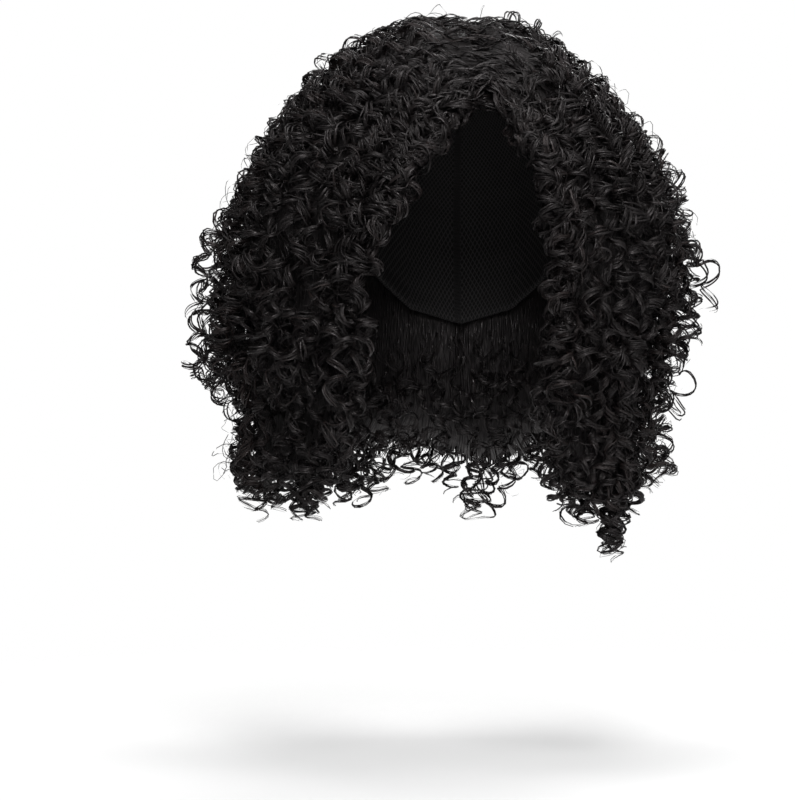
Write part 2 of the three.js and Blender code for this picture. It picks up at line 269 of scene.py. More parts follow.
def outer_point(azimuth, fall):
    """The outside of the hair. The fall is 0 at the parting, 1 where it is widest, 2 at the ends."""
    turn = np.radians(azimuth)
    right = np.interp(fall, HANG_FALLS, HANG_RIGHT)
    left = np.interp(fall, HANG_FALLS, HANG_LEFT)
    narrow = mix(right, left, (1 + np.sin(turn)) / 2)
    edge_x = HAIR_CENTRE_X + HAIR_HALF_WIDTH * narrow * np.sin(turn)
    edge_y = HAIR_CENTRE_Y - HAIR_HALF_DEPTH * np.cos(turn)
    root_x, root_y = parting_point(azimuth)
    share = np.sin(np.minimum(fall, 1) * math.pi / 2)
    x = mix(root_x, edge_x, share)
    y = mix(root_y, edge_y, share)
    wide = (x - HAIR_CENTRE_X) / (HAIR_HALF_WIDTH * narrow)
    deep = (y - HAIR_CENTRE_Y) / HAIR_HALF_DEPTH
    rise = np.maximum(0, 1 - wide**2 - deep**2) ** mix(FRONT_POWER, SIDE_POWER, np.sin(turn) ** 2)
    hanging = WIDEST_LEVEL - (fall - 1) * HANG
    return np.stack([x, y, np.where(fall >= 1, hanging, WIDEST_LEVEL + HAIR_DOME * rise)], -1)


def inner_point(azimuth, fall):
    """The inside of the hair: the form of the cap, and below it the clear way up into the cap."""
    crowd = mix(1, CROWD_SHARE, ease(fall, *CROWD_FALLS))
    from_face = turn_from_face(azimuth)
    bearing = np.radians(np.where(from_face < 90, 90 - (90 - from_face) * crowd, from_face))
    across = np.sin(bearing) * np.sign(np.sin(np.radians(azimuth)))
    along = -np.cos(bearing)
    root_x, root_y = parting_point(azimuth)
    share = np.sin(np.minimum(fall, 1) * math.pi / 2)
    brow_x = mix(root_x, HEAD_HALF_WIDTH * across, share)
    brow_y = mix(root_y, HEAD_HALF_DEPTH * along, share)
    inside = 1 - (brow_x / HEAD_HALF_WIDTH) ** 2 - (brow_y / HEAD_HALF_DEPTH) ** 2
    head = HEAD_DOME * (np.sqrt(np.maximum(0, inside)) - 1)
    clear = ease(fall, 1, CLEAR_REACHED)
    x = mix(brow_x, CLEAR_HALF_WIDTH * across, clear)
    y = mix(brow_y, np.where(along < 0, CLEAR_FRONT, CLEAR_BACK) * along, clear)
    hanging = -HEAD_DOME + (fall - 1) * (WIDEST_LEVEL - HANG + HEAD_DOME)
    return np.stack([x, y, np.where(fall > 1, hanging, head)], -1)


def clear_of_face(points, is_left, margin=FACE_MARGIN):
    """Moves hair aside that would hang in the front opening, more gently the further off it is."""
    side = np.where(is_left, 1.0, -1.0)
    heights = [row["height"] for row in FACE_EDGES]
    left = np.interp(points[..., 2], heights, [row["left"] for row in FACE_EDGES])
    right = np.interp(points[..., 2], heights, [row["right"] for row in FACE_EDGES])
    gap = np.where(is_left, points[..., 0] - left, right - points[..., 0]) - margin
    eased = np.where(gap < FACE_ROOM, FACE_ROOM * np.exp((gap - FACE_ROOM) / FACE_ROOM), gap)
    in_front = ease(-points[..., 1], *FACE_AHEAD) * ease(-points[..., 2], *FACE_BELOW)
    moved = points.copy()
    moved[..., 0] += side * (eased - gap) * in_front
    return moved


def hair_share(azimuth, fall, share):
    """A place in the thickness of the hair, with a share of 0 at the inside and 1 at the outside."""
    inner = inner_point(azimuth, fall)
    return inner + (outer_point(azimuth, fall) - inner) * share[..., None]


def share_under(azimuth, fall, depth):
    """The share of the thickness that lies at a depth under the outside."""
    thickness = np.linalg.norm(outer_point(azimuth, fall) - inner_point(azimuth, fall), axis=-1)
    return np.maximum(1 - depth / thickness, DEEPEST_SHARE)


LOCK_WAVE = 0.004
LOCK_WAVE_FULL_AT = 0.4
LOCK_TURNS = 2.2
LOCK_UNEVEN = 0.09
LOCK_SCALLOP = 0.006
LOCK_WEAVE = 0.0022
WEAVE_TURNS = (1.5, 3.5)
DRIFT_TURNS = (0.8, 1.6)
DRIFT_RIPPLE = 0.6
DRIFT_RIPPLE_TURNS = (2.2, 3.6)
LINE_STEPS = 150
LOCK_GATHER = 0.6
LOCK_GATHER_FROM = 0.74
TAIL_SWING = 3.5
TAIL_ALONG = (0.3, 0.85)
TAIL_GATHER = 0.5
TAIL_DEPTH = 0.008
FLARE_FROM = 0.78
BEND_ALONG = (0.05, 0.25)
ROOT_DEPTH = 0.003
END_SALT = 1
WAVE_SALT = 2
SCATTER_INDEX = 12.9898
SCATTER_SALT = 78.233
SCATTER_SPREAD = 43758.5453


def uneven(index, salt):
    """A scattered number from 0 to 1, always the same for one index and salt."""
    spread = math.sin(index * SCATTER_INDEX + salt * SCATTER_SALT) * SCATTER_SPREAD
    return spread - math.floor(spread)


def slow_wave(along, slowest, fastest, rng):
    """A smooth random wave for each row, with so many turns over the row's length."""
    count = len(along)
    turns = rng.uniform(slowest, fastest, (count, 1))
    return np.sin(2 * math.pi * (turns * along + rng.uniform(0, 1, (count, 1))))


def ringlet_lines(weft, tier, rows, rng):
    """The middle lines of a weft's ringlets, with the directions outward and aside at each point."""
    count = len(rows["lock"])
    along = np.repeat(np.linspace(0, 1, LINE_STEPS + 1)[None, :], count, 0)
    lock_width = (weft["to"] - weft["from"]) / weft["locks"]
    lock_indices = range(weft["locks"])
    phases = np.array([uneven(index + weft["from"], WAVE_SALT) * 2 * math.pi for index in lock_indices])
    middle = (weft["from"] + (rows["lock"] + 0.5) * lock_width)[:, None]
    is_tail = (rows["lock"] == weft.get("tail"))[:, None]
    gathered = np.where(is_tail, ease(along, *TAIL_ALONG), ease(along, LOCK_GATHER_FROM, 1))
    gather = mix(1, np.where(is_tail, TAIL_GATHER, LOCK_GATHER), gathered)
    fall = mix(rows["start"][:, None], rows["end"][:, None], along)
    drift = slow_wave(along, *DRIFT_TURNS, rng)
    drift = drift + DRIFT_RIPPLE * slow_wave(along, *DRIFT_RIPPLE_TURNS, rng)
    wander = drift * rows["wander"] * np.where(is_tail, gather, 1)
    azimuth = middle + rows["across"][:, None] * lock_width * gather + wander
    azimuth = azimuth + TAIL_SWING * is_tail * along
    scallop = LOCK_SCALLOP * (2 * np.clip(rows["across"], -0.5, 0.5)[:, None]) ** 2
    come_out = ease(fall, tier["out_from"], tier["out_to"])
    depth = rows["depth"][:, None] + scallop + LOCK_WEAVE * slow_wave(along, *WEAVE_TURNS, rng)
    depth = mix(depth, TAIL_DEPTH, is_tail * gathered)
    depth = mix(ROOT_DEPTH, depth, ease(fall, *tier["sink_falls"]))
    outside = share_under(azimuth, fall, depth)
    share = mix(np.minimum(rows["root_share"][:, None], outside), outside, come_out)
    outward = unit(outer_point(azimuth, fall) - inner_point(azimuth, fall))
    aside = unit(outer_point(azimuth + 1, fall) - outer_point(azimuth - 1, fall))
    turn = phases[rows["lock"]][:, None] + along * LOCK_TURNS * 2 * math.pi
    wave = LOCK_WAVE * ease(along, 0, LOCK_WAVE_FULL_AT)
    flare = rows["flare"][:, None] * np.where(is_tail, 0, ease(along, FLARE_FROM, 1))
    line = hair_share(azimuth, fall, share)
    line = line + aside * (wave * np.cos(turn))[..., None]
    line = line + outward * (wave / 2 * np.sin(turn) + flare)[..., None]
    bend = ease(along, *BEND_ALONG)[..., None]
    swing = slow_wave(along, *tier["meander"], rng)[..., None]
    line = line + bend * aside * tier["meander_aside"] * swing
    swing = slow_wave(along, *tier["meander"], rng)[..., None]
    line = line + bend * outward * tier["meander_outward"] * swing
    margin = rows["margin"][:, None] + FACE_WAVE * slow_wave(along, *tier["meander"], rng)
    line = clear_of_face(line, np.broadcast_to(middle < 180, fall.shape), margin)
    tangent = unit(np.gradient(line, axis=1))
    outward = unit(outward - tangent * (outward * tangent).sum(-1, keepdims=True))
    return line, outward, np.cross(tangent, outward)


CURL_PITCH = (0.0135, 0.0220)
PITCH_SWAY = 0.12
PITCH_TURNS = (1, 3)
CURL_RADIUS = (0.0036, 0.0066)
RADIUS_SWAY = 0.15
RADIUS_TURNS = (2, 4)
WOUND_SWAY = 0.25
WOUND_TURNS = (2, 5)
STRAND_WANDER_TURNS = (3, 9)
STRAND_SWAY_TURNS = (4, 11)
ROOT_PITCH = 0.036
ROOT_RADIUS = 0.0014
ROOT_RADIUS_SHARES = (0.4, 1.6)
ROOT_SPREAD = 0.006
ROOT_SPREAD_SHARES = (-1, 1)
ROOT_SINK_SHARES = (-0.3, 0.5)
BAND = 0.8
TIP_ALONG = (0.80, 0.95)
TIP_GATHER = 0.4
TIP_TIGHT = 0.4
TIP_OPEN = 0.3
TIP_TAPER = 0.8
TIP_TAPER_FROM = 0.93
RIBBON = {
    "width": (0.0015, 0.0029),
    "flat": 0.7,
    "stray": 0.18,
    "wander": 0.16,
    "loose": (0.90, 1.08),
    "sway": 0.05,
}
FINE = {
    "width": (0.0006, 0.0013),
    "flat": 0.8,
    "stray": 1.6,
    "wander": 0.5,
    "loose": (0.75, 1.20),
    "sway": 0.15,
}


def run_along(line):
    """The length of each line from its start to each of its points."""
    step = np.linalg.norm(np.diff(line, axis=1), axis=-1)
    return np.concatenate([np.zeros((len(line), 1)), np.cumsum(step, 1)], 1)


def respaced(columns, places, wanted):
    """Each row's columns, read at the wanted places along that row."""
    return np.stack(
        [
            np.stack([np.interp(want, place, column) for column in row.T], -1)
            for row, place, want in zip(columns, places, wanted)
        ]
    )


def ringlet_strands(line, outward, aside, layer, rng):
    """The strands of each ringlet: a band of ribbons and some fine strands, wound round its line."""
    count = len(line)
    run = run_along(line)
    along = run / run[:, -1:]
    curled = ease(run, 0, rng.uniform(*layer["grow"], (count, 1)))
    pitch = mix(*layer["pitch"], along) * rng.uniform(*CURL_PITCH, (count, 1))
    pitch = pitch * (1 + PITCH_SWAY * slow_wave(along, *PITCH_TURNS, rng))
    pitch = pitch * (1 - TIP_TIGHT * ease(along, *TIP_ALONG))
    turns = np.cumsum(np.diff(run, axis=1, prepend=0) / mix(ROOT_PITCH, pitch, curled), 1)
    radius = mix(*layer["radius"], along) * rng.uniform(*CURL_RADIUS, (count, 1))
    radius = radius * (1 + RADIUS_SWAY * slow_wave(along, *RADIUS_TURNS, rng))
    wanted = turns[:, -1:] * np.linspace(0, 1, layer["steps"] + 1)
    columns = np.concatenate([line, outward, aside, np.stack([along, curled, radius], -1)], -1)
    spaced = respaced(columns, turns, wanted)
    line, outward, aside = spaced[..., 0:3], unit(spaced[..., 3:6]), unit(spaced[..., 6:9])
    along, curled, radius = spaced[..., 9], spaced[..., 10], spaced[..., 11]
    radius = radius * (1 + TIP_OPEN * ease(along, *TIP_ALONG))
    apart = 1 - TIP_GATHER * ease(along, *TIP_ALONG)
    hand = rng.choice([-1.0, 1.0], (count, 1))
    wound = rng.uniform(0, 2 * math.pi, (count, 1)) + hand * 2 * math.pi * wanted
    wound = wound + WOUND_SWAY * slow_wave(along, *WOUND_TURNS, rng)
    offsets = [BAND * (2 * (index + 0.5) / layer["ribbons"] - 1) for index in range(layer["ribbons"])]
    kinds = [(RIBBON, offset) for offset in offsets] + [(FINE, 0.0)] * layer["fine"]
    tubes = []
    for kind, offset in kinds:
        turn = offset + rng.uniform(-kind["stray"], kind["stray"], (count, 1))
        turn = turn + kind["wander"] * slow_wave(along, *STRAND_WANDER_TURNS, rng)
        turn = wound + apart * turn
        loose = rng.uniform(*kind["loose"], (count, 1))
        loose = loose * (1 + kind["sway"] * slow_wave(along, *STRAND_SWAY_TURNS, rng))
        loose = mix(1, loose, apart)
        root_radius = ROOT_RADIUS * rng.uniform(*ROOT_RADIUS_SHARES, (count, 1))
        reach = mix(root_radius, radius * loose, curled)
        around = aside * np.cos(turn)[..., None] + outward * np.sin(turn)[..., None]
        spread = mix(rng.uniform(*ROOT_SPREAD_SHARES, (count, 1)) * ROOT_SPREAD, 0, curled)
        sink = mix(rng.uniform(*ROOT_SINK_SHARES, (count, 1)) * ROOT_SPREAD, 0, curled)
        strand = line + around * reach[..., None]
        strand = strand + aside * spread[..., None] - outward * sink[..., None]
        facing = mix(outward, around, curled[..., None])
        taper = mix(kind["flat"], 1, curled) * (1 - TIP_TAPER * ease(along, TIP_TAPER_FROM, 1))
        tubes.append(strand_tubes(strand, facing, rng.uniform(*kind["width"], (count, 1)) * taper))
    return np.concatenate(tubes)


SECTION = ((0.0, 0.6), (0.5, -0.3), (-0.5, -0.3))
STRAND_HEIGHT = 0.0010


def strand_tubes(line, facing, width):
    """The corners of a flat three-sided tube along each line, with a ridge on the facing side."""
    tangent = unit(np.gradient(line, axis=1))
    facing = unit(facing - tangent * (facing * tangent).sum(-1, keepdims=True))
    across = np.cross(tangent, facing)
    height = np.minimum(width, STRAND_HEIGHT)
    corners = [
        line + across * (width * side)[..., None] + facing * (height * up)[..., None]
        for side, up in SECTION
    ]
    return np.stack(corners, 2)


def hair_mesh(name, groups):
    """A mesh of closed strands, made from arrays because there are thousands of them. Each group
    holds tubes with one number of steps, and their tones: random, and darker on the deeper
    layers as painted shade."""
    places, quads, ends, maps, tones_and_shade = [], [], [], [], []
    first = 0
    for tubes, tone_and_shade in groups:
        count, points, sides, _ = tubes.shape
        index = first + np.arange(count * points * sides).reshape(count, points, sides)
        ahead = np.roll(index, -1, axis=2)
        sides_of = np.stack([index[:, :-1], ahead[:, :-1], ahead[:, 1:], index[:, 1:]], -1)
        quads.append(sides_of.reshape(-1, 4))
        ends.append(np.concatenate([index[:, 0, ::-1], index[:, -1]]))
        run = run_along(tubes.mean(2))[..., None]
        width = np.linalg.norm(tubes[:, :, 1] - tubes[:, :, 2], axis=-1).max(1)[:, None, None]
        corner = np.array([side + 0.5 for side, _ in SECTION])
        near = corner * width
        far = np.roll(corner, -1) * width
        low, high, near, far = np.broadcast_arrays(run[:, :-1], run[:, 1:], near, far)
        maps.append(np.stack([near, low, far, low, far, high, near, high], -1).reshape(-1, 2))
        tones_and_shade.append(np.repeat(tone_and_shade, points * sides))
        places.append(tubes.reshape(-1, 3))
        first += count * points * sides
    quads = np.concatenate(quads)
    ends = np.concatenate(ends)
    maps.append(np.zeros((ends.size, 2)))
    starts = np.concatenate([np.arange(len(quads)) * 4, quads.size + np.arange(len(ends)) * 3])
    mesh = bpy.data.meshes.new(name)
    mesh.vertices.add(first)
    mesh.vertices.foreach_set("co", np.concatenate(places).astype(np.float32).ravel())
    mesh.loops.add(quads.size + ends.size)
    mesh.loops.foreach_set("vertex_index", np.concatenate([quads.ravel(), ends.ravel()]).astype(np.int32))
    mesh.polygons.add(len(starts))
    mesh.polygons.foreach_set("loop_start", starts.astype(np.int32))
    mesh.polygons.foreach_set("use_smooth", np.ones(len(starts), bool))
    strand_map = mesh.uv_layers.new(name="Strand")
    strand_map.data.foreach_set("uv", np.concatenate(maps).astype(np.float32).ravel())
    tone_and_shade_layer = mesh.attributes.new("tone_and_shade", "FLOAT", "POINT")
    tone_and_shade_layer.data.foreach_set("value", np.concatenate(tones_and_shade).astype(np.float32))
    frayed_layer = mesh.attributes.new("frayed", "FLOAT", "POINT")
    frayed_layer.data.foreach_set("value", np.ones(first, np.float32))
    mesh.update(calc_edges=True)
    mesh.validate()
    ends_of = np.zeros(len(mesh.edges) * 2, np.int32)
    mesh.edges.foreach_get("vertices", ends_of)
    corner = ends_of.reshape(-1, 2) % len(SECTION)
    is_side = (corner[:, 0] == corner[:, 1]) & (corner[:, 0] > 0)
    mesh.attributes.new("sharp_edge", "BOOLEAN", "EDGE").data.foreach_set("value", is_side)
    return mesh


ROOT_CUTS = 11
ROOT_LUMP = 0.0025
LUMPS_DOWN = (23, 11)
LUMPS_ROUND = (0.21, 0.37)
ROOT_SINK_FALLS = (0.15, 0.6)
ROOT_MAP = (0.0010, 0.2)
# The packed roots take a low tone: painted shade under the ringlets.
ROOT_PAINTED_SHADE = 0.15
ROOT_TAPER = 0.13
ROOT_SEAM = 0.03
ROOT_SEAM_POWER = 4
ROOT_INSIDE_FALLS = (0.7, 1.1)
ROOT_THINNEST = 0.05
ROOT_FACE_MARGIN = 0.010
ROOT_UNEVEN = (-0.08, 0.05)
ROOT_FRAY = 1.6
ROOT_FRAY_ALONG = 0.16


def add_packed_roots(mesh, weft, tier):
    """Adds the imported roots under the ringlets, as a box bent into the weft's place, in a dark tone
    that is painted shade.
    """
    bm = bmesh.new()
    bm.from_mesh(mesh)
    made = bmesh.ops.create_cube(bm, size=1)
    edges = list(dict.fromkeys(edge for vert in made["verts"] for edge in vert.link_edges))
    had = len(bm.verts) - len(made["verts"])
    bmesh.ops.subdivide_edges(bm, edges=edges, cuts=ROOT_CUTS, use_grid_fill=True)
    bm.verts.ensure_lookup_table()
    roots = bm.verts[had:]
    box = np.array([vert.co for vert in roots])
    azimuth = mix(weft["from"] + ROOT_SEAM, weft["to"] - ROOT_SEAM, box[:, 0] + 0.5)
    lock = (box[:, 0] + 0.5) * weft["locks"]
    longer = np.interp(lock - 0.5, np.arange(weft["locks"]), lock_ends(weft, tier)) - tier["lock_to"]
    off_seam = 1 - (2 * box[:, 0]) ** ROOT_SEAM_POWER
    bottom = weft["roots_to"] + np.clip(longer, *ROOT_UNEVEN) * off_seam
    fall = mix(tier["roots_from"], bottom, 0.5 - box[:, 1])
    lump = ROOT_LUMP * np.sin(fall * LUMPS_DOWN[0] + azimuth * LUMPS_ROUND[0])
    lump = lump * np.cos(azimuth * LUMPS_ROUND[1] - fall * LUMPS_DOWN[1])
    scallop = LOCK_SCALLOP * (1 + np.cos(2 * math.pi * lock)) / 2
    sunk = ease(fall, *ROOT_SINK_FALLS)
    depth = mix(tier["roots_top_depth"], tier["roots_depth"] + scallop, sunk)
    outside = share_under(azimuth, fall, depth + lump)
    come_out = ease(fall, tier["out_from"], tier["out_to"])
    outside = mix(np.minimum(tier["roots_share"], outside), outside, come_out)
    inside = mix(tier["inside_top"], tier["inside_hang"], ease(fall, *ROOT_INSIDE_FALLS))
    inside = mix(inside, outside, ease(fall, bottom - ROOT_TAPER, bottom))
    share = mix(np.minimum(inside, outside - ROOT_THINNEST), outside, box[:, 2] + 0.5)
    places = clear_of_face(hair_share(azimuth, fall, share), azimuth < 180, ROOT_FACE_MARGIN)
    tone_and_shade_layer = bm.verts.layers.float["tone_and_shade"]
    frayed_layer = bm.verts.layers.float["frayed"]
    strand_map = bm.loops.layers.uv["Strand"]
    spots = np.stack([azimuth * ROOT_MAP[0], fall * ROOT_MAP[1]], -1)
    frays = ROOT_FRAY * ease(fall, bottom - ROOT_FRAY_ALONG, bottom)
    for vert, place, spot, fray in zip(roots, places, spots, frays):
        vert.co = place
        vert[tone_and_shade_layer] = ROOT_PAINTED_SHADE
        vert[frayed_layer] = fray
        for loop in vert.link_loops:
            loop[strand_map].uv = spot
    faces = list(dict.fromkeys(face for vert in roots for face in vert.link_faces))
    bmesh.ops.recalc_face_normals(bm, faces=faces)
    for face in faces:
        face.smooth = True
    bm.to_mesh(mesh)
    bm.free()


def lock_ends(weft, tier):
    """The fall at which each lock of a weft ends."""
    ends = [
        tier["lock_to"] + (uneven(index + weft["from"], END_SALT) - 0.5) * 2 * LOCK_UNEVEN
        for index in range(weft["locks"])
    ]
    for index, end in weft.get("own_ends", {}).items():
        ends[index] = end
    return np.array(ends)


END_STRAY = (-0.10, 0.05)
ACROSS_STRAY = (-0.07, 0.07)
FLARE_REACH = (0.004, 0.014)
FACE_MARGINS = (0.000, 0.010)
HOOK_MARGIN = -0.003


def ringlet_rows(weft, tier, layer, rng):
    """Where each ringlet of a layer starts, ends and lies, spread evenly over the locks.
    An extra ringlet that gives its own end hooks a little way into the front opening."""
    places = [(lock, across) for lock in range(weft["locks"]) for across in layer["across"]]
    places.extend(weft["extra"] if layer["has_extra"] else ())
    lock = np.array([place[0] for place in places])
    across = np.array([place[1] for place in places])
    count = len(places)
    flares = rng.uniform(0, 1, count) < layer["flared"]
    end = lock_ends(weft, tier)[lock] - layer["short"] + rng.uniform(*END_STRAY, count)
    margin = rng.uniform(*FACE_MARGINS, count)
    for index, place in enumerate(places):
        if len(place) > 2:
            end[index] = place[2]
            margin[index] = HOOK_MARGIN
    return {
        "lock": lock,
        "across": across + rng.uniform(*ACROSS_STRAY, count),
        "margin": margin,
        "depth": rng.uniform(*layer["depth"], count),
        "start": rng.uniform(*layer["start"], count),
        "end": end,
        "root_share": rng.uniform(*layer["root_share"], count),
        "flare": np.where(flares, rng.uniform(*FLARE_REACH, count), 0),
        "wander": layer["wander"],
    }


def finish_weft(name, node, mesh):
    mesh.materials.append(fibre)
    piece = bpy.data.objects.new(name, mesh)
    bpy.context.scene.collection.objects.link(piece)
    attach(piece, "root")
    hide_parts(node)


TINT_STRAY = 0.06
WEFT_SEED = 7


def ringlet_tones_and_shade(layer, ringlets, strands, rng):
    """A tone for each strand, close to that of the other strands of its ringlet, from the layer's range,
    which is lower on the deeper layers as painted shade.
    """
    tones_and_shade = np.tile(rng.uniform(*layer["tone_and_shade"], ringlets), strands // ringlets)
    return np.clip(tones_and_shade + rng.uniform(-TINT_STRAY, TINT_STRAY, strands), 0, 1)


def sew_weft(weft, tier, layers, front_roots=None):
    """Makes one weft: its layers of ringlets, its front roots if it has any, its packed roots."""
    rng = np.random.default_rng(weft["from"] + WEFT_SEED)
    groups = []
    for layer in layers:
        rows = ringlet_rows(weft, tier, layer, rng)
        line, outward, aside = ringlet_lines(weft, tier, rows, rng)
        tubes = ringlet_strands(line, outward, aside, layer, rng)
        groups.append((tubes, ringlet_tones_and_shade(layer, len(line), len(tubes), rng)))
    if front_roots:
        groups.extend(front_roots(weft, rng))
    mesh = hair_mesh(weft["name"], groups)
    add_packed_roots(mesh, weft, tier)
    finish_weft("hair_" + weft["name"], weft["name"], mesh)


# Curled fibre: near black, with the fine lines of the fibres running along every strand and open
# gaps between them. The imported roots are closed, and fray only at their ends.
FIBRE_WIDTH = 0.00062
FIBRE_BENDS = 90.0
FIBRE_SHIFT = 300.0
FIBRE_GAP = 0.46
GRAIN_LOW = 0.35
GRAIN_HIGH = 0.65
fibre, tree, shader = new_material("curled_fibre")
strand_map = add_node(tree, "ShaderNodeUVMap", uv_map="Strand")
tone_and_shade = add_node(tree, "ShaderNodeAttribute", attribute_name="tone_and_shade")
apart = add_node(tree, "ShaderNodeSeparateXYZ", {"Vector": strand_map.outputs[0]})
fine = add_node(
    tree,
    "ShaderNodeMath",
    {0: apart.outputs["X"], 1: 1 / FIBRE_WIDTH},
    operation="MULTIPLY",
)
slow = add_node(tree, "ShaderNodeMath", {0: apart.outputs["Y"], 1: FIBRE_BENDS}, operation="MULTIPLY")
own = add_node(tree, "ShaderNodeMath", {0: tone_and_shade.outputs["Fac"], 1: FIBRE_SHIFT}, operation="MULTIPLY")
place = add_node(
    tree,
    "ShaderNodeCombineXYZ",
    {"X": fine.outputs[0], "Y": slow.outputs[0], "Z": own.outputs[0]},
)
grain = add_node(tree, "ShaderNodeTexNoise", {"Vector": place.outputs[0], "Scale": 1.0, "Detail": 1.0})
# The tone attribute picks the near-black colour: random from ringlet to ringlet, and lower on the deeper
# layers and the packed roots as painted shade.
shade = add_node(tree, "ShaderNodeValToRGB", {"Fac": tone_and_shade.outputs["Fac"]})
shade.color_ramp.elements[0].color = (0.0036, 0.0029, 0.0030, 1)
shade.color_ramp.elements[1].color = (0.016, 0.0110, 0.0102, 1)
middle_shade = shade.color_ramp.elements.new(0.75)
middle_shade.color = (0.0064, 0.0050, 0.0051, 1)
lines = add_node(
    tree,
    "ShaderNodeMapRange",
    {
        "Value": grain.outputs[0],
        "From Min": GRAIN_LOW,
        "From Max": GRAIN_HIGH,
        "To Min": 0.15,
        "To Max": 1.7,
    },
)
lined = add_node(
    tree, "ShaderNodeVectorMath", {0: shade.outputs[0], "Scale": lines.outputs[0]}, operation="SCALE"
)
rough = add_node(
    tree,
    "ShaderNodeMapRange",
    {
        "Value": grain.outputs[0],
        "From Min": GRAIN_LOW,
        "From Max": GRAIN_HIGH,
        "To Min": 0.85,
        "To Max": 0.27,
    },
)
bump = add_node(tree, "ShaderNodeBump", {"Height": grain.outputs[0], "Strength": 1.0, "Distance": 0.0012})
frayed = add_node(tree, "ShaderNodeAttribute", attribute_name="frayed")
level = add_node(tree, "ShaderNodeMath", {0: frayed.outputs["Fac"], 1: FIBRE_GAP}, operation="MULTIPLY")
kept = add_node(
    tree,
    "ShaderNodeMath",
    {0: grain.outputs[0], 1: level.outputs[0]},
    operation="GREATER_THAN",
)
tree.links.new(kept.outputs[0], shader.inputs["Alpha"])
tree.links.new(lined.outputs[0], shader.inputs["Base Color"])
tree.links.new(rough.outputs[0], shader.inputs["Roughness"])
tree.links.new(bump.outputs[0], shader.inputs["Normal"])
shader.inputs["Specular IOR Level"].default_value = 0.4
shader.inputs["Specular Tint"].default_value = (1.0, 0.93, 0.94, 1)

LOWER_TIER = {
    "roots_from": 0.80,
    "roots_depth": 0.021,
    "roots_top_depth": 0.021,
    "roots_share": 0.34,
    "inside_top": 0.03,
    "inside_hang": 0.12,
    "out_from": 1.08,
    "out_to": 1.48,
    "sink_falls": (0.5, 0.9),
    "meander": (2.0, 3.5),
    "meander_aside": 0.0024,
    "meander_outward": 0.0016,
    "lock_to": 1.97,
}
LOWER_WEFTS = (
    {
        "name": "side_weft_left",
        "from": 18,
        "to": 99,
        "locks": 6,
        "tail": 2,
        "own_ends": {0: 1.95, 1: 2.00, 2: 2.14},
        "roots_to": 1.94,
        "extra": ((0, -0.7), (2, 0.0), (2, 0.1), (1, 0.75, 2.02), (1, 1.1, 2.05)),
    },
    {"name": "back_weft_left", "from": 99, "to": 180, "locks": 5, "roots_to": 1.86, "extra": ()},
    {"name": "back_weft_right", "from": 180, "to": 261, "locks": 5, "roots_to": 1.86, "extra": ()},
    {
        "name": "side_weft_right",
        "from": 261,
        "to": 333,
        "locks": 6,
        "roots_to": 1.94,
        "extra": ((5, 0.7), (5, 1.1)),
    },
)
# The layers under the outer one take lower tones: painted shade among the locks.
LOWER_LAYERS = (
    {
        "across": (-0.26, 0.24),
        "has_extra": True,
        "ribbons": 2,
        "fine": 3,
        "steps": 102,
        "depth": (0.0060, 0.0110),
        "start": (1.12, 1.22),
        "short": 0.0,
        "radius": (0.70, 0.90),
        "pitch": (1.15, 0.95),
        "root_share": (0.25, 0.4),
        "flared": 0.35,
        "wander": 0.8,
        "grow": (0.02, 0.05),
        "tone_and_shade": (0.2, 1.0),
    },
    {
        "across": (-0.48, 0.02),
        "has_extra": True,
        "ribbons": 2,
        "fine": 1,
        "steps": 75,
        "depth": (0.0120, 0.0200),
        "start": (1.12, 1.3),
        "short": 0.0,
        "radius": (0.70, 0.90),
        "pitch": (1.15, 0.95),
        "root_share": (0.25, 0.4),
        "flared": 0.1,
        "wander": 1.0,
        "grow": (0.02, 0.05),
        "tone_and_shade": (0.0, 0.8),
    },
    {
        "across": (-0.36, -0.02, 0.3),
        "has_extra": False,
        "ribbons": 2,
        "fine": 0,
        "steps": 54,
        "depth": (0.1000, 0.1100),
        "start": (1.38, 1.46),
        "short": 0.04,
        "radius": (0.90, 0.90),
        "pitch": (1.00, 1.00),
        "root_share": (0.10, 0.14),
        "flared": 0.0,
        "wander": 2.0,
        "grow": (0.02, 0.05),
        "tone_and_shade": (0.0, 0.8),
    },
)
for weft in LOWER_WEFTS:
    sew_weft(weft, LOWER_TIER, LOWER_LAYERS)


# Crown wefts and fringes: the upper tier, which leaves the parting and the crown and falls in
# curly locks over the roots of the lower tier. It is sewn to the cap like the lower tier, and the
# fringes are combed to each side of the front opening.
CROWN_TIER = {
    "roots_from": 0.02,
    "roots_depth": 0.019,
    "roots_top_depth": 0.0045,
    "roots_share": 0.6,
    "inside_top": 0.03,
    "inside_hang": 0.42,
    "out_from": -0.12,
    "out_to": 0.06,
    "sink_falls": (0.1, 0.5),
    "meander": (5.0, 8.0),
    "meander_aside": 0.0026,
    "meander_outward": 0.0024,
    "lock_to": 1.46,
}
CROWN_WEFTS = (
    {
        "name": "fringe_left",
        "from": 18,
        "to": 63,
        "locks": 4,
        "roots_to": 1.34,
        "extra": ((0, -0.7), (0, -1.0), (0, -0.9, 0.62)),
    },
    {"name": "crown_weft_left", "from": 63, "to": 126, "locks": 5, "roots_to": 1.34, "extra": ()},
    {"name": "crown_weft_back", "from": 126, "to": 234, "locks": 7, "roots_to": 1.34, "extra": ()},
    {"name": "crown_weft_right", "from": 234, "to": 297, "locks": 5, "roots_to": 1.34, "extra": ()},
    {
        "name": "fringe_right",
        "from": 297,
        "to": 342,
        "locks": 4,
        "roots_to": 1.34,
        "extra": ((3, 0.7), (3, 1.0), (3, 1.4), (3, 1.25, 0.5)),
    },
)
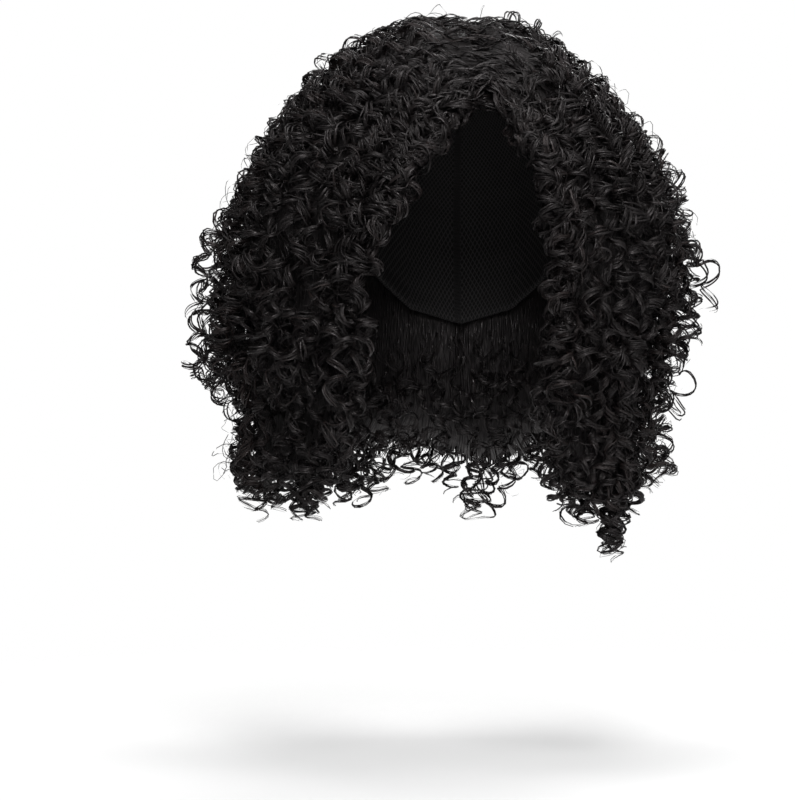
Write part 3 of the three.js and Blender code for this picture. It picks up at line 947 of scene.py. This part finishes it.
# The layer under the outer one takes lower tones: painted shade among the locks.
CROWN_LAYERS = (
    {
        "across": (-0.26, 0.24),
        "has_extra": True,
        "ribbons": 2,
        "fine": 3,
        "steps": 202,
        "depth": (0.0050, 0.0100),
        "start": (-0.06, 0.03),
        "short": 0.0,
        "radius": (1.30, 0.85),
        "pitch": (1.45, 1.15),
        "root_share": (0.6, 0.8),
        "flared": 0.4,
        "wander": 0.9,
        "grow": (0.03, 0.08),
        "tone_and_shade": (0.1, 0.95),
    },
    {
        "across": (-0.48, 0.02),
        "has_extra": True,
        "ribbons": 2,
        "fine": 0,
        "steps": 135,
        "depth": (0.0100, 0.0150),
        "start": (-0.02, 0.15),
        "short": 0.03,
        "radius": (1.10, 0.85),
        "pitch": (1.30, 1.15),
        "root_share": (0.6, 0.8),
        "flared": 0.1,
        "wander": 1.3,
        "grow": (0.03, 0.07),
        "tone_and_shade": (0.0, 0.8),
    },
)
HAIRLINE_ROOTS = 26
SWEPT_ROOTS = 16
SWEPT_SHARES = (-0.5, 0.5)
SWEPT_TURNS = (45.0, 110.0)
SWEPT_FALLS = (0.04, 0.10)
HAIRLINE_LAYER = {
    "ribbons": 1,
    "fine": 2,
    "steps": 52,
    "radius": (0.9, 1.0),
    "pitch": (1.1, 1.1),
    "grow": (0.04, 0.08),
    "tone_and_shade": (0.1, 0.9),
}
HAIRLINE_PARTING = 8.0
HAIRLINE_LEFT = 34.0
HAIRLINE_RIGHT = -30.0
HAIRLINE_DIP = (0.0, -0.005, -0.005)
HAIRLINE_DIP_TO = 0.22
HAIRLINE_JOIN_TO = 0.3
HAIRLINE_DEPTH = (0.003, 0.012)
BESIDE_TURNS = (8.0, 40.0)
BESIDE_STRAY = (-4, 4)
BESIDE_FALLS = (0.0, 0.06)
HAIRLINE_ENDS = (0.6, 0.95)
HAIRLINE_SWAY = 2
HAIRLINE_SWAY_TURNS = (0.8, 2)


def hairline_lines(is_left, rng):
    """The middle lines of the front roots: off the cap's front edge, then along with the fringe.
    Some by the middle are swept up over the parting instead."""
    beside = (np.arange(HAIRLINE_ROOTS) + rng.uniform(0, 1, HAIRLINE_ROOTS)) / HAIRLINE_ROOTS
    share = np.concatenate([beside, rng.uniform(*SWEPT_SHARES, SWEPT_ROOTS)])
    count = len(share)
    along = np.repeat(np.linspace(0, 1, LINE_STEPS + 1)[None, :], count, 0)
    root_turn = mix(HAIRLINE_PARTING, HAIRLINE_LEFT if is_left else HAIRLINE_RIGHT, share)
    height = np.interp(np.abs(root_turn), CAP_EDGE_AZIMUTHS, CAP_EDGE_HEIGHTS)
    ring = np.sqrt(1 - ((height + HEAD_DOME) / HEAD_DOME) ** 2)
    root_x = HEAD_HALF_WIDTH * ring * np.sin(np.radians(root_turn))
    root_y = -HEAD_HALF_DEPTH * ring * np.cos(np.radians(root_turn)) - CAP_WALL
    root = np.stack([root_x, root_y, height], -1)[:, None, :]
    swept = (np.arange(count) >= HAIRLINE_ROOTS)[:, None]
    beside_turn = mix(*BESIDE_TURNS, share) + rng.uniform(*BESIDE_STRAY, count)
    turn = np.where(swept[:, 0], rng.uniform(*SWEPT_TURNS, count), beside_turn)
    azimuth = (turn if is_left else 360 - turn)[:, None]
    azimuth = azimuth + HAIRLINE_SWAY * slow_wave(along, *HAIRLINE_SWAY_TURNS, rng)
    swept_start = rng.uniform(*SWEPT_FALLS, (count, 1))
    start = np.where(swept, swept_start, rng.uniform(*BESIDE_FALLS, (count, 1)))
    fall = mix(start, rng.uniform(*HAIRLINE_ENDS, (count, 1)), along)
    depth = np.repeat(rng.uniform(*HAIRLINE_DEPTH, (count, 1)), LINE_STEPS + 1, 1)
    outward = unit(outer_point(azimuth, fall) - inner_point(azimuth, fall))
    flow = hair_share(azimuth, fall, share_under(azimuth, fall, depth))
    flow = clear_of_face(flow, np.full(fall.shape, is_left))
    line = mix(root, flow, ease(along, 0, HAIRLINE_JOIN_TO)[..., None])
    dip = np.sin(math.pi * np.clip(along / HAIRLINE_DIP_TO, 0, 1))[..., None]
    line = line + dip * np.array(HAIRLINE_DIP)
    tangent = unit(np.gradient(line, axis=1))
    outward = unit(outward - tangent * (outward * tangent).sum(-1, keepdims=True))
    return line, outward, np.cross(tangent, outward)


def hairline(weft, rng):
    """The front roots of a weft, which only the fringes have."""
    if not weft["name"].startswith("fringe"):
        return ()
    line, outward, aside = hairline_lines(weft["to"] < 180, rng)
    tubes = ringlet_strands(line, outward, aside, HAIRLINE_LAYER, rng)
    return ((tubes, rng.uniform(*HAIRLINE_LAYER["tone_and_shade"], len(tubes))),)


for weft in CROWN_WEFTS:
    sew_weft(weft, CROWN_TIER, CROWN_LAYERS, hairline)


# Loose curls: spirals, curls and fine frizz of the same fibre that have worked free of the locks
# all round the wig. They rise out of the locks, wind in the air and end free or sink back.
LOOSE_SETS = {
    "spirals": {
        "count": 24,
        "strands": 3,
        "steps": 66,
        "fall": (0.7, 1.45),
        "length": (0.28, 0.42),
        "radius": (0.0045, 0.0068),
        "pitch": (0.017, 0.024),
        "depth": (-0.016, -0.008),
        "width": (0.0008, 0.0016),
    },
    "curls": {
        "count": 95,
        "strands": 3,
        "steps": 50,
        "fall": (0.04, 1.62),
        "length": (0.2, 0.40),
        "radius": (0.0045, 0.0078),
        "pitch": (0.015, 0.024),
        "depth": (-0.007, 0.002),
        "width": (0.0007, 0.0015),
    },
    "frizz": {
        "count": 570,
        "strands": 1,
        "steps": 16,
        "fall": (0.0, 1.8),
        "length": (0.06, 0.2),
        "radius": (0.003, 0.007),
        "pitch": (0.024, 0.045),
        "depth": (-0.003, 0.006),
        "width": (0.00025, 0.00050),
    },
}
LOOSE_ROOT_DEPTH = 0.013
LOOSE_LOWEST = 1.98
LOOSE_BAND = 0.5
LOOSE_AZIMUTHS = (20, 338)
LOOSE_SWING = 3
LOOSE_SWING_TURNS = (0.5, 1.2)
LOOSE_SINKS = 0.5
LOOSE_OUT_TO = 0.35
LOOSE_BACK_FROM = 0.7
LOOSE_MARGINS = (0.002, 0.008)
LOOSE_SWAY = 0.2
LOOSE_SWAY_TURNS = (1, 3)
LOOSE_OPENS = (-0.2, 0.3)
LOOSE_STRAY = 0.25
LOOSE_STRAY_TURNS = (0.8, 1.8)
LOOSE_TAPER = 0.7
LOOSE_TAPER_FROM = 0.85
LOOSE_TINT = (0.1, 1)
LOOSE_SEED = 41


def loose_curls(row, rng):
    """The strands of one set of loose curls, each curl a band of strands side by side, and tints."""
    count = row["count"]
    along = np.repeat(np.linspace(0, 1, row["steps"] + 1)[None, :], count, 0)
    azimuth = rng.uniform(*LOOSE_AZIMUTHS, (count, 1))
    azimuth = azimuth + LOOSE_SWING * slow_wave(along, *LOOSE_SWING_TURNS, rng)
    start = rng.uniform(*row["fall"], (count, 1))
    fall = np.minimum(start + rng.uniform(*row["length"], (count, 1)) * along, LOOSE_LOWEST)
    sinks = rng.uniform(0, 1, (count, 1)) < LOOSE_SINKS
    away = ease(along, 0, LOOSE_OUT_TO) * np.where(sinks, 1 - ease(along, LOOSE_BACK_FROM, 1), 1)
    depth = mix(LOOSE_ROOT_DEPTH, rng.uniform(*row["depth"], (count, 1)), away)
    outward = unit(outer_point(azimuth, fall) - inner_point(azimuth, fall))
    line = hair_share(azimuth, fall, share_under(azimuth, fall, depth))
    line = clear_of_face(line, azimuth < 180, rng.uniform(*LOOSE_MARGINS, (count, 1)))
    tangent = unit(np.gradient(line, axis=1))
    outward = unit(outward - tangent * (outward * tangent).sum(-1, keepdims=True))
    aside = np.cross(tangent, outward)
    turns = run_along(line) / rng.uniform(*row["pitch"], (count, 1))
    wound = rng.uniform(0, 2 * math.pi, (count, 1))
    wound = wound + rng.choice([-1, 1], (count, 1)) * 2 * math.pi * turns
    reach = rng.uniform(*row["radius"], (count, 1))
    reach = reach * (1 + LOOSE_SWAY * slow_wave(along, *LOOSE_SWAY_TURNS, rng))
    reach = reach * ease(along, *LOOSE_OPENS)
    tubes = []
    for index in range(row["strands"]):
        turn = wound + LOOSE_BAND * index + LOOSE_STRAY * slow_wave(along, *LOOSE_STRAY_TURNS, rng)
        facing = aside * np.cos(turn)[..., None] + outward * np.sin(turn)[..., None]
        width = rng.uniform(*row["width"], (count, 1))
        width = width * (1 - LOOSE_TAPER * ease(along, LOOSE_TAPER_FROM, 1))
        tubes.append(strand_tubes(line + facing * reach[..., None], facing, width))
    tubes = np.concatenate(tubes)
    return tubes, rng.uniform(*LOOSE_TINT, len(tubes))


rng = np.random.default_rng(LOOSE_SEED)
loose_mesh = hair_mesh("loose_curls", [loose_curls(row, rng) for row in LOOSE_SETS.values()])
loose_mesh.materials.append(fibre)
loose = bpy.data.objects.new("loose_curls", loose_mesh)
bpy.context.scene.collection.objects.link(loose)
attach(loose, "root")


# Stage: a pale round floor below the hair that fades into the white surround. Soft boxes light
# the wig from the front, from above, and from behind for a bright rim.
FLOOR_LEVEL = -0.455
FLOOR_RADIUS = 2.2
FLOOR_SEGMENTS = 96

floor_bm = bmesh.new()
bmesh.ops.create_circle(floor_bm, cap_ends=True, segments=FLOOR_SEGMENTS, radius=FLOOR_RADIUS)
bmesh.ops.translate(floor_bm, verts=floor_bm.verts, vec=(0, 0, FLOOR_LEVEL))
floor_mesh = bpy.data.meshes.new("pale_floor")
floor_bm.to_mesh(floor_mesh)
floor_bm.free()
floor = bpy.data.objects.new("pale_floor", floor_mesh)
bpy.context.scene.collection.objects.link(floor)
floor_paint, tree, shader = new_material("pale_floor")
shader.inputs["Base Color"].default_value = (0.85, 0.85, 0.85, 1)
shader.inputs["Roughness"].default_value = 0.9
shader.inputs["Specular IOR Level"].default_value = 0.1
place = add_node(tree, "ShaderNodeTexCoord")
flat = add_node(
    tree,
    "ShaderNodeVectorMath",
    {0: place.outputs["Object"], 1: (1, 1, 0)},
    operation="MULTIPLY",
)
away = add_node(tree, "ShaderNodeVectorMath", {0: flat.outputs[0]}, operation="LENGTH")
fade = add_node(
    tree,
    "ShaderNodeMapRange",
    {"Value": away.outputs["Value"], "From Min": 0.15, "From Max": 0.9, "To Min": 1.0, "To Max": 0.0},
    interpolation_type="SMOOTHSTEP",
)
tree.links.new(fade.outputs[0], shader.inputs["Alpha"])
floor_mesh.materials.append(floor_paint)

world = bpy.data.worlds.new("white_surround")
world.use_nodes = True
bpy.context.scene.world = world
tree = world.node_tree
tree.nodes.clear()
seen = add_node(tree, "ShaderNodeBackground", {"Color": (1, 1, 1, 1), "Strength": 1.0})
soft = add_node(tree, "ShaderNodeBackground", {"Color": (1, 1, 1, 1), "Strength": 0.19})
path = add_node(tree, "ShaderNodeLightPath")
either = add_node(
    tree,
    "ShaderNodeMixShader",
    {0: path.outputs["Is Camera Ray"], 1: soft.outputs[0], 2: seen.outputs[0]},
)
add_node(tree, "ShaderNodeOutputWorld", {"Surface": either.outputs[0]})

SOFT_BOXES = (
    {"name": "key_box", "place": (0.1, -1.7, 1.1), "size": 0.7, "power": 26},
    {"name": "fill_box", "place": (1.3, -1.3, 0.2), "size": 0.7, "power": 6},
    {"name": "front_box", "place": (0.1, -2.1, -0.1), "size": 0.7, "power": 3},
    {"name": "top_box", "place": (0.0, -0.2, 1.5), "size": 1.0, "power": 18},
    {"name": "back_box", "place": (0.3, 1.6, 0.7), "size": 1.0, "power": 26},
)
BOX_AIM = Vector((0, 0.02, -0.13))
for row in SOFT_BOXES:
    light = bpy.data.lights.new(row["name"], "AREA")
    light.energy = row["power"]
    light.size = row["size"]
    lamp = bpy.data.objects.new(row["name"], light)
    lamp.location = row["place"]
    lamp.rotation_euler = (BOX_AIM - Vector(row["place"])).to_track_quat("-Z", "Y").to_euler()
    bpy.context.scene.collection.objects.link(lamp)
bpy.context.scene.view_settings.view_transform = "Standard"
